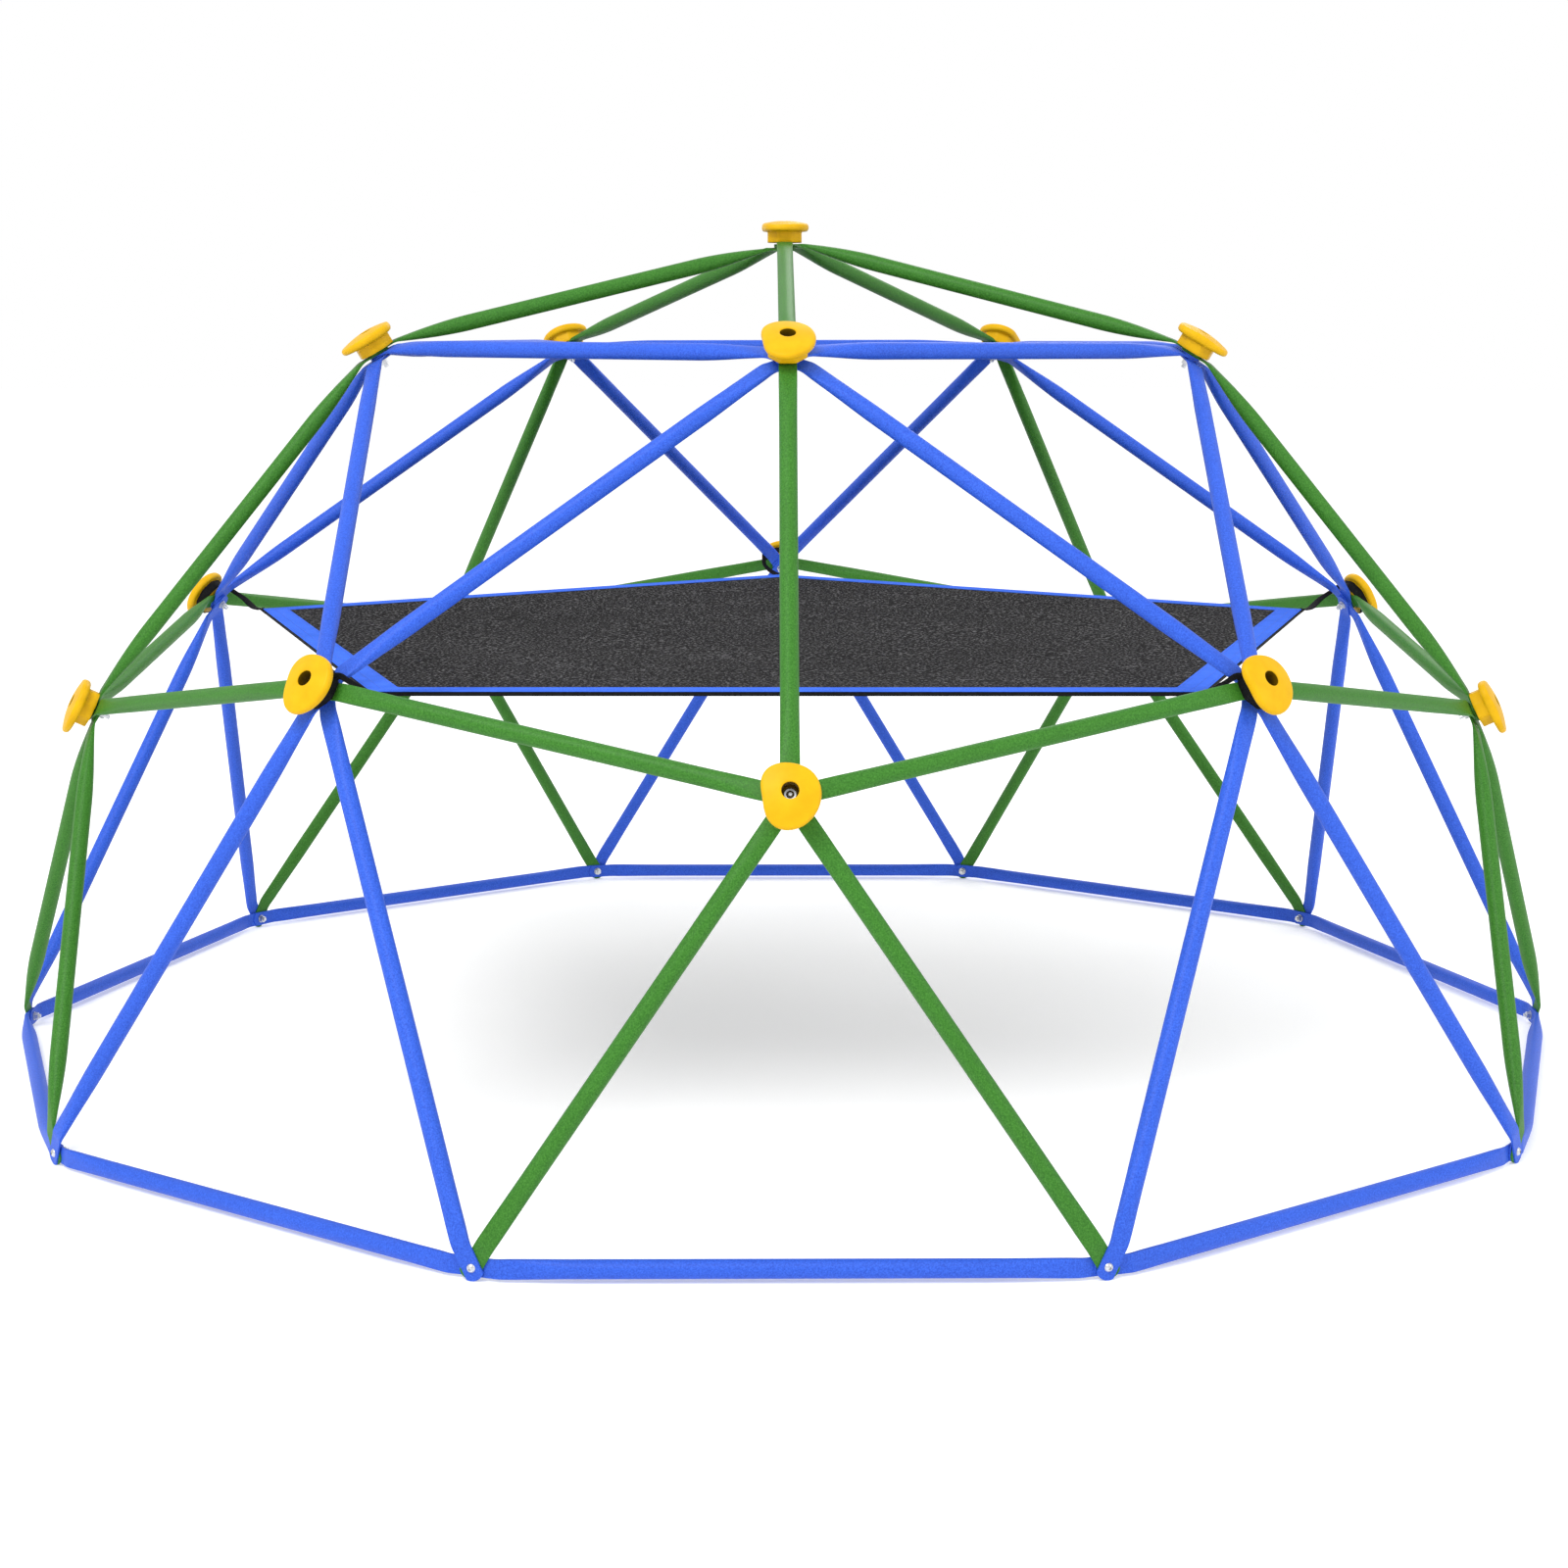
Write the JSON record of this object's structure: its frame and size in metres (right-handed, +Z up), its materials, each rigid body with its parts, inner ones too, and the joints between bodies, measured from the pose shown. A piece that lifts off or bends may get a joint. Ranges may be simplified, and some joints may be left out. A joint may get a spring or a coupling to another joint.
{
  "type": "dome climber",
  "caption": "Geodesic climbing dome of bolted steel tubes with moulded holds on its joints and a five-cornered mesh hammock slung inside.",
  "frame": {"origin": "on the ground, at the centre of the dome's footprint, under the crown joint", "axes": "+Z up, -Y towards the front, where a joint of five green tubes faces the viewer, +X to the right seen from the front"},
  "size_m": [3.0202, 2.902, 1.5717],
  "materials": {
    "green_tube": "fine textured green powder coat on steel tube",
    "blue_tube": "fine textured blue powder coat on steel tube",
    "hold_plastic": "satin moulded yellow plastic",
    "zinc_steel": "bright zinc plating",
    "mesh_fabric": "woven coated mesh, dark grey",
    "border_fabric": "blue woven border tape",
    "black_webbing": "black woven webbing"
  },
  "bodies": {
    "frame": {"crown_tube_1": "green_tube", "crown_tube_2": "green_tube", "crown_tube_3": "green_tube", "crown_tube_4": "green_tube", "crown_tube_5": "green_tube", "upper_ring_tube_1": "blue_tube", "upper_ring_tube_2": "blue_tube", "upper_ring_tube_3": "blue_tube", "upper_ring_tube_4": "blue_tube", "upper_ring_tube_5": "blue_tube", "upper_post_1": "green_tube", "upper_post_2": "green_tube", "upper_post_3": "green_tube", "upper_post_4": "green_tube", "upper_post_5": "green_tube", "upper_brace_pair_1": "blue_tube", "upper_brace_pair_2": "blue_tube", "upper_brace_pair_3": "blue_tube", "upper_brace_pair_4": "blue_tube", "upper_brace_pair_5": "blue_tube", "middle_ring_pair_1": "green_tube", "middle_ring_pair_2": "green_tube", "middle_ring_pair_3": "green_tube", "middle_ring_pair_4": "green_tube", "middle_ring_pair_5": "green_tube", "lower_post_pair_1": "green_tube", "lower_post_pair_2": "green_tube", "lower_post_pair_3": "green_tube", "lower_post_pair_4": "green_tube", "lower_post_pair_5": "green_tube", "lower_brace_pair_1": "blue_tube", "lower_brace_pair_2": "blue_tube", "lower_brace_pair_3": "blue_tube", "lower_brace_pair_4": "blue_tube", "lower_brace_pair_5": "blue_tube", "base_ring_pair_1": "blue_tube", "base_ring_pair_2": "blue_tube", "base_ring_pair_3": "blue_tube", "base_ring_pair_4": "blue_tube", "base_ring_pair_5": "blue_tube", "crown_hold": "hold_plastic", "upper_holds": "hold_plastic", "star_holds": "hold_plastic", "sling_holds": "hold_plastic", "crown_bolt": "zinc_steel", "crown_nut": "zinc_steel", "hold_bolts": "zinc_steel", "hold_nuts": "zinc_steel", "base_bolts": "zinc_steel", "base_nuts": "zinc_steel", "washers": "zinc_steel", "strap_1": "black_webbing", "strap_2": "black_webbing", "strap_3": "black_webbing", "strap_4": "black_webbing", "strap_5": "black_webbing"},
    "hammock": {"hammock_mesh": "mesh_fabric", "hammock_border": "border_fabric", "hammock_edging": "black_webbing"}
  },
  "joints": [
    {"name": "hammock_drop", "type": "slide", "parent": "frame", "child": "hammock", "axis": [0, 0, -1], "range_m": [0, 0.06], "stiffness_N_per_m": 6000, "springref_m": -0.004, "deforming": ["strap_1", "strap_2", "strap_3", "strap_4", "strap_5"]}
  ]
}
